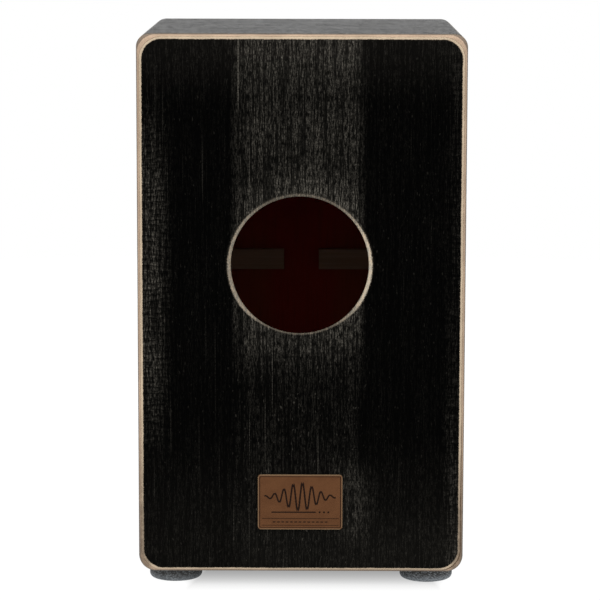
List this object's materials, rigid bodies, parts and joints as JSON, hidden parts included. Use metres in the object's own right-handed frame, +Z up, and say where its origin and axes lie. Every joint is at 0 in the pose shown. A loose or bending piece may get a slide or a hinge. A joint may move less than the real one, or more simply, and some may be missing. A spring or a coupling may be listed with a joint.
{
  "type": "cajon",
  "caption": "Box drum to sit on: black stained plywood body with a round sound hole behind, a thin playing plate in front, split snare bar inside and rubber feet.",
  "frame": {"origin": "centre of the footprint on the floor, level with the undersides of the rubber feet", "axes": "+Z up; -Y is the rear with the sound hole; +Y is the playing plate; +X is to the right seen from the rear"},
  "size_m": [0.3, 0.3032, 0.509],
  "materials": {
    "black_stained_plywood": "black stained plywood, sanded through along the edges",
    "red_stained_plywood": "dark red stained thin plywood",
    "spruce_block": "raw softwood",
    "raw_beech_strip": "raw planed wood",
    "snare_steel": "bright coiled wire",
    "zinc_screw": "zinc plated",
    "black_screw": "black oxide",
    "foot_rubber": "dark speckled rubber",
    "badge_leather": "brown leather with a pressed border"
  },
  "bodies": {
    "root": {"rear_panel": "black_stained_plywood", "top_panel": "black_stained_plywood", "bottom_panel": "black_stained_plywood", "left_side_panel": "black_stained_plywood", "right_side_panel": "black_stained_plywood", "playing_plate": "red_stained_plywood", "upper_left_glue_block": "spruce_block", "upper_right_glue_block": "spruce_block", "lower_left_glue_block": "spruce_block", "lower_right_glue_block": "spruce_block", "left_snare_bar": "raw_beech_strip", "right_snare_bar": "raw_beech_strip", "left_snare_bar_cleat": "spruce_block", "right_snare_bar_cleat": "spruce_block", "left_snare_set": "snare_steel", "right_snare_set": "snare_steel", "left_bar_screw_1": "zinc_screw", "left_bar_screw_2": "zinc_screw", "right_bar_screw_1": "zinc_screw", "right_bar_screw_2": "zinc_screw", "left_strap_screw_1": "zinc_screw", "left_strap_screw_2": "zinc_screw", "right_strap_screw_1": "zinc_screw", "right_strap_screw_2": "zinc_screw", "plate_screw_left_1": "black_screw", "plate_screw_left_2": "black_screw", "plate_screw_left_3": "black_screw", "plate_screw_left_4": "black_screw", "plate_screw_left_5": "black_screw", "plate_screw_right_1": "black_screw", "plate_screw_right_2": "black_screw", "plate_screw_right_3": "black_screw", "plate_screw_right_4": "black_screw", "plate_screw_right_5": "black_screw", "plate_screw_top_1": "black_screw", "plate_screw_top_2": "black_screw", "plate_screw_bottom_1": "black_screw", "plate_screw_bottom_2": "black_screw", "rear_left_foot": "foot_rubber", "rear_right_foot": "foot_rubber", "front_left_foot": "foot_rubber", "front_right_foot": "foot_rubber", "rear_left_foot_washer": "zinc_screw", "rear_right_foot_washer": "zinc_screw", "front_left_foot_washer": "zinc_screw", "front_right_foot_washer": "zinc_screw", "rear_left_foot_screw": "zinc_screw", "rear_right_foot_screw": "zinc_screw", "front_left_foot_screw": "zinc_screw", "front_right_foot_screw": "zinc_screw", "badge": "badge_leather"}
  },
  "joints": []
}
